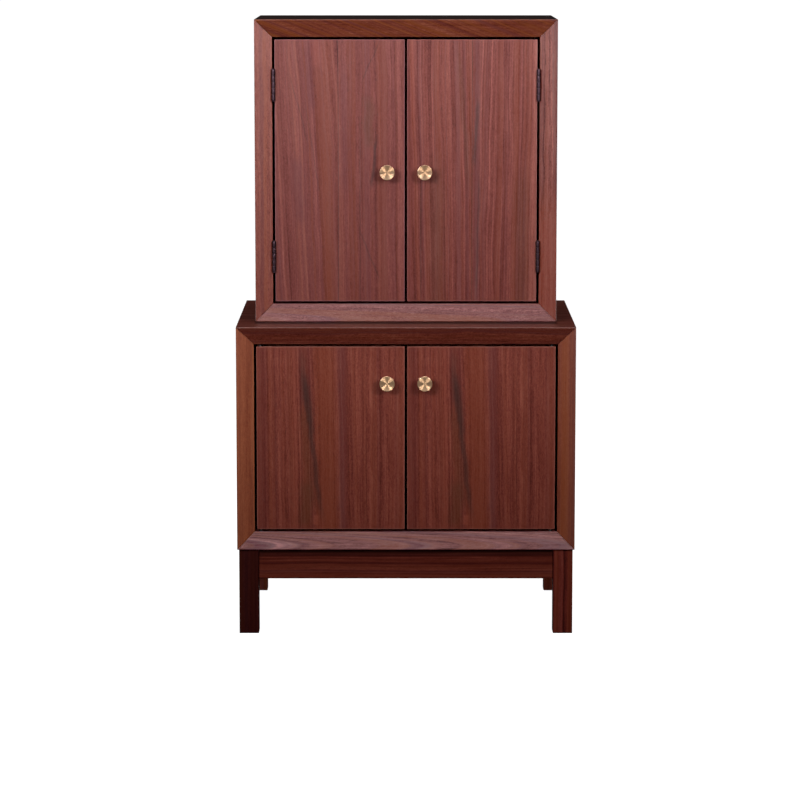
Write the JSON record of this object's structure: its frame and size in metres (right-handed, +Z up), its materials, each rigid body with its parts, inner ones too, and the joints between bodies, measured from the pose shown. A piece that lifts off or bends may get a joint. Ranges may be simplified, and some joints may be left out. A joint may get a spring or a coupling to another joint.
{
  "type": "household altar cabinet",
  "caption": "Walnut household altar cabinet: a two-door altar case with bevelled mitred frame resting on a two-door stand on a leg frame.",
  "frame": {"origin": "on the floor, at the middle of the footprint's box, with the lower knobs' fronts counted in it", "axes": "+Z up, doors and knobs facing -Y, +X to the right as seen from the front"},
  "size_m": [0.5, 0.3708, 0.9063],
  "materials": {
    "walnut_door": "walnut veneer laid in repeating leaves under red-brown satin lacquer, vertical grain",
    "walnut_frame": "walnut boards, mitred and bevelled, red-brown satin lacquer",
    "walnut_top": "walnut board, red-brown satin lacquer, grain from side to side",
    "walnut_leg": "solid walnut, darker red-brown satin lacquer",
    "walnut_back": "thin plain walnut-veneered board, matt",
    "turned_brass": "turned brass with fine concentric tool marks, clear lacquer",
    "dark_bronze": "dark bronze plating, satin",
    "pivot_steel": "plain bright steel pin"
  },
  "bodies": {
    "carcass": {"case_top": "walnut_top", "case_bottom": "walnut_frame", "case_left_side": "walnut_frame", "case_right_side": "walnut_frame", "case_back": "walnut_back", "case_left_lower_hinge_frame_leaf": "dark_bronze", "case_left_lower_hinge_pin": "dark_bronze", "case_left_upper_hinge_frame_leaf": "dark_bronze", "case_left_upper_hinge_pin": "dark_bronze", "case_right_lower_hinge_frame_leaf": "dark_bronze", "case_right_lower_hinge_pin": "dark_bronze", "case_right_upper_hinge_frame_leaf": "dark_bronze", "case_right_upper_hinge_pin": "dark_bronze", "stand_top": "walnut_top", "stand_bottom": "walnut_frame", "stand_left_side": "walnut_frame", "stand_right_side": "walnut_frame", "stand_back": "walnut_back", "stand_left_top_pivot": "pivot_steel", "stand_left_bottom_pivot": "pivot_steel", "stand_right_top_pivot": "pivot_steel", "stand_right_bottom_pivot": "pivot_steel", "front_left_leg": "walnut_leg", "front_right_leg": "walnut_leg", "back_left_leg": "walnut_leg", "back_right_leg": "walnut_leg", "front_apron": "walnut_leg", "back_apron": "walnut_leg", "left_apron": "walnut_leg", "right_apron": "walnut_leg"},
    "case_left_door": {"case_left_door": "walnut_door", "case_left_knob": "turned_brass", "case_left_lower_hinge_door_leaf": "dark_bronze", "case_left_upper_hinge_door_leaf": "dark_bronze"},
    "case_right_door": {"case_right_door": "walnut_door", "case_right_knob": "turned_brass", "case_right_lower_hinge_door_leaf": "dark_bronze", "case_right_upper_hinge_door_leaf": "dark_bronze"},
    "stand_left_door": {"stand_left_door": "walnut_door", "stand_left_knob": "turned_brass"},
    "stand_right_door": {"stand_right_door": "walnut_door", "stand_right_knob": "turned_brass"}
  },
  "joints": [
    {"name": "case_left_door_hinge", "type": "hinge", "parent": "carcass", "child": "case_left_door", "pos_m": [-0.19575, -0.1001, 0.6828], "axis": [0, 0, -1], "range_deg": [0, 165]},
    {"name": "case_right_door_hinge", "type": "hinge", "parent": "carcass", "child": "case_right_door", "pos_m": [0.19575, -0.1001, 0.6828], "axis": [0, 0, 1], "range_deg": [0, 165]},
    {"name": "stand_left_door_hinge", "type": "hinge", "parent": "carcass", "child": "stand_left_door", "pos_m": [-0.2145, -0.1591, 0.293], "axis": [0, 0, -1], "range_deg": [0, 100]},
    {"name": "stand_right_door_hinge", "type": "hinge", "parent": "carcass", "child": "stand_right_door", "pos_m": [0.2145, -0.1591, 0.293], "axis": [0, 0, 1], "range_deg": [0, 100]}
  ]
}
